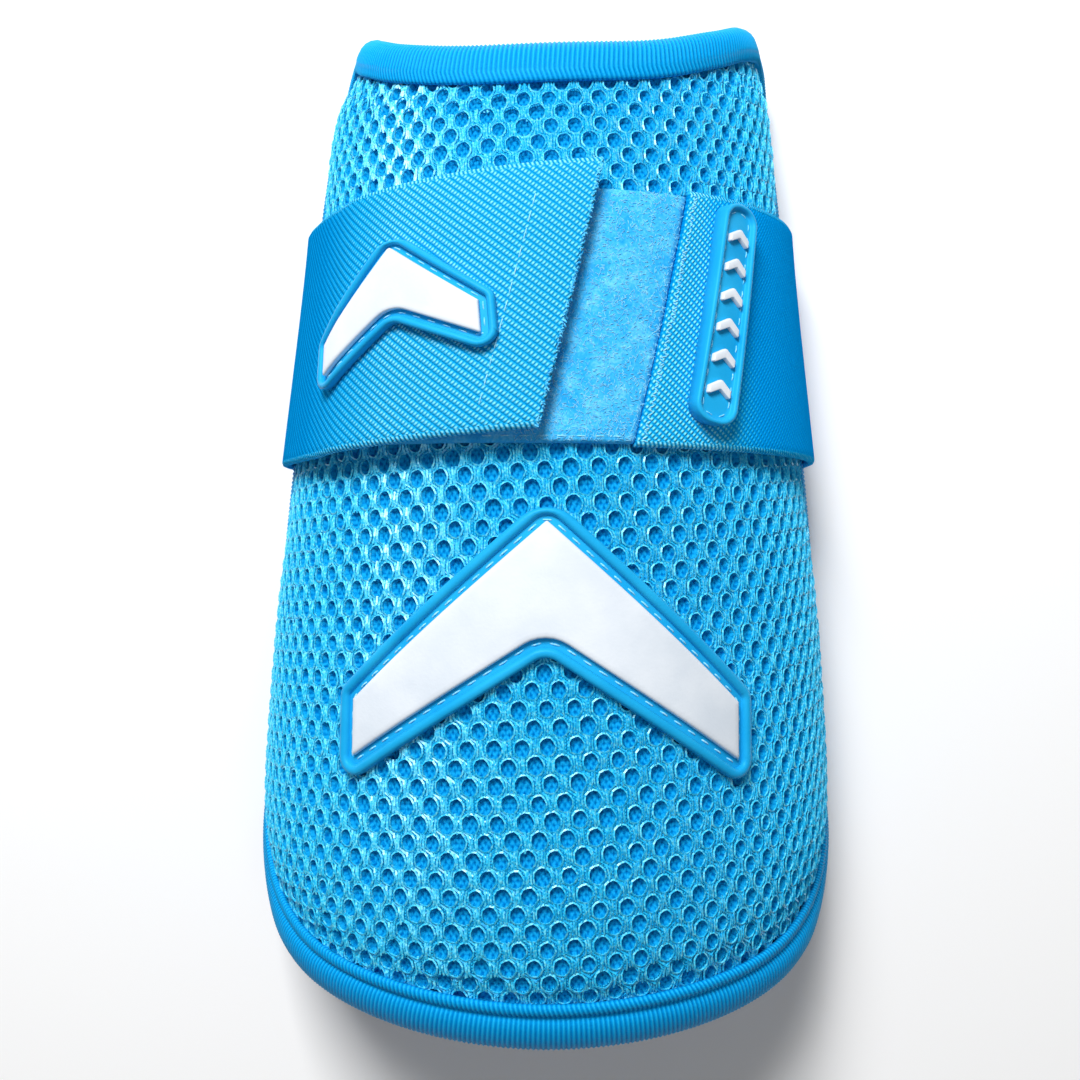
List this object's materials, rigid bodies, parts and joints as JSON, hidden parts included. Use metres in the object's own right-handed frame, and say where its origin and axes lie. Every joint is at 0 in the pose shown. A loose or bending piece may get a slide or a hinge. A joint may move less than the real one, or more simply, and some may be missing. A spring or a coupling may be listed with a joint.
{
  "type": "elbow guard",
  "caption": "Padded half-sleeve elbow guard with air mesh cover, bound edge and an elastic hook-and-loop strap that holds it round the arm.",
  "frame": {"origin": "on the resting plane, under the middle of the guard's box", "axes": "+Z out of the padded front, +Y up the arm to the narrow end, +X to the right seen from the front"},
  "size_m": [0.1264, 0.2087, 0.0719],
  "materials": {
    "foam": "matte",
    "air_mesh": "matte",
    "binding_tape": "satin",
    "loop_pile": "fuzzy",
    "hook_tape": "matte",
    "elastic": "woven",
    "blue_rubber": "satin",
    "white_rubber": "satin"
  },
  "bodies": {
    "root": {"foam_pad": "foam", "mesh_cover": "air_mesh", "edge_binding": "binding_tape", "loop_patch": "loop_pile", "hook_patch": "hook_tape", "strap": "elastic", "front_badge": "blue_rubber", "front_badge_face": "white_rubber", "strap_badge": "blue_rubber", "strap_badge_face": "white_rubber", "side_label": "blue_rubber", "label_mark_1": "white_rubber", "label_mark_2": "white_rubber", "label_mark_3": "white_rubber", "label_mark_4": "white_rubber", "label_mark_5": "white_rubber", "label_mark_6": "white_rubber"}
  },
  "joints": []
}
